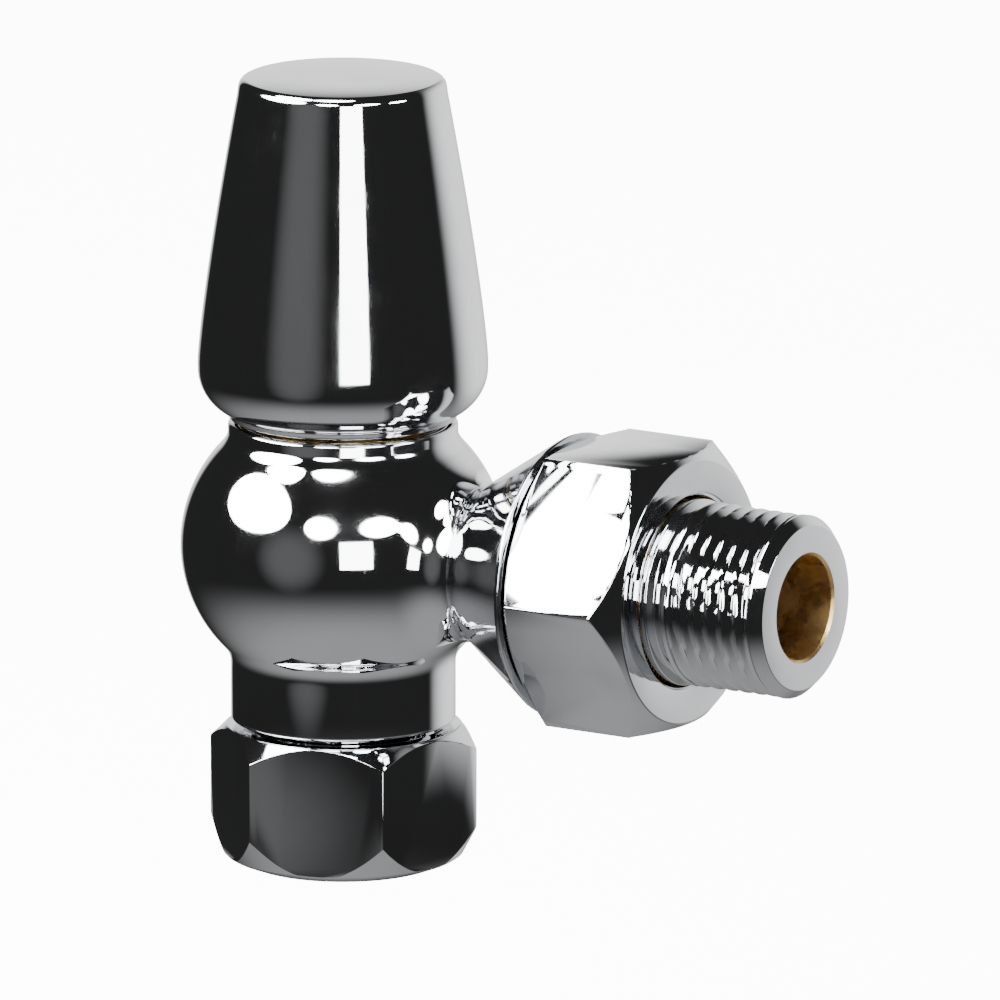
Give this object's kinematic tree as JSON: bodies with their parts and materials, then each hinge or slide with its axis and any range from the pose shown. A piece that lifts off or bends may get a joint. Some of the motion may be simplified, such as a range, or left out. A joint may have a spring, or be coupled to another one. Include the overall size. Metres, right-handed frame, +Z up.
{
  "type": "angled lockshield radiator valve",
  "caption": "Chrome-plated angled lockshield valve: tapered lift-off cap, rounded body, compression nut for the pipe below, flared side arm and union nut with threaded tail for the radiator.",
  "frame": {"origin": "On the pipe's axis, in the plane of the compression nut's lower end face, where the pipe enters.", "axes": "+Z up the pipe and the spindle, towards the cap; +X along the side arm, out of the valve and into the radiator; +Y completes a right-handed frame."},
  "size_m": [0.08, 0.037, 0.091],
  "materials": {
    "chrome_plate": "polished chrome plate on brass",
    "machined_brass": "fine-turned, unplated",
    "spring_steel": "satin",
    "seal_rubber": "matt moulded",
    "packing_fluoropolymer": "waxy, cut from tube",
    "nylon_insert": "moulded, satin"
  },
  "bodies": {
    "body": {"valve_body": "chrome_plate", "bonnet": "machined_brass", "bonnet_o_ring": "seal_rubber", "gland_nut": "machined_brass", "gland_washer": "machined_brass", "gland_packing_lower": "packing_fluoropolymer", "gland_packing_upper": "packing_fluoropolymer", "spindle_o_ring": "seal_rubber", "cap_grip_o_ring": "seal_rubber"},
    "plug": {"valve_plug": "machined_brass", "plug_retaining_ring": "spring_steel", "plug_washer": "seal_rubber", "plug_washer_nut": "machined_brass"},
    "spindle": {"spindle": "machined_brass"},
    "cap_insert": {"cap_sleeve": "nylon_insert"},
    "cap": {"lockshield_cap": "chrome_plate"},
    "olive": {"compression_olive": "machined_brass"},
    "pipe_nut": {"compression_nut": "chrome_plate"},
    "tail": {"union_tail": "chrome_plate", "tail_o_ring": "seal_rubber"},
    "union_nut": {"union_nut": "chrome_plate"}
  },
  "joints": [
    {"name": "plug_lift", "type": "slide", "parent": "body", "child": "plug", "axis": [0, 0, 1], "range_m": [0, 0.00375]},
    {"name": "spindle_turn", "type": "hinge", "parent": "plug", "child": "spindle", "pos_m": [0, 0, 0.0776], "axis": [0, 0, 1], "range_deg": [0, 1080]},
    {"name": "cap_lift", "type": "slide", "parent": "body", "child": "cap_insert", "axis": [0, 0, 1], "range_m": [0, 0.05]},
    {"name": "cap_spin", "type": "hinge", "parent": "cap_insert", "child": "cap", "pos_m": [0, 0, 0.066], "axis": [0, 0, 1], "continuous": true},
    {"name": "olive_release", "type": "slide", "parent": "body", "child": "olive", "axis": [0, 0, -1], "range_m": [0, 0.00726]},
    {"name": "pipe_nut_turn", "type": "hinge", "parent": "olive", "child": "pipe_nut", "pos_m": [0, 0, 0.008], "axis": [0, 0, -1], "range_deg": [0, 1440]},
    {"name": "tail_release", "type": "slide", "parent": "body", "child": "tail", "axis": [1, 0, 0], "range_m": [0, 0.00907]},
    {"name": "union_nut_turn", "type": "hinge", "parent": "tail", "child": "union_nut", "pos_m": [0.039, 0, 0.037], "axis": [1, 0, 0], "range_deg": [0, 1800]}
  ],
  "couplings": [
    {"joint": "spindle_turn", "follows": "plug_lift", "rad_per_m": 5026.5},
    {"joint": "pipe_nut_turn", "follows": "olive_release", "rad_per_m": 3463.7},
    {"joint": "union_nut_turn", "follows": "tail_release", "rad_per_m": 3463.7}
  ]
}
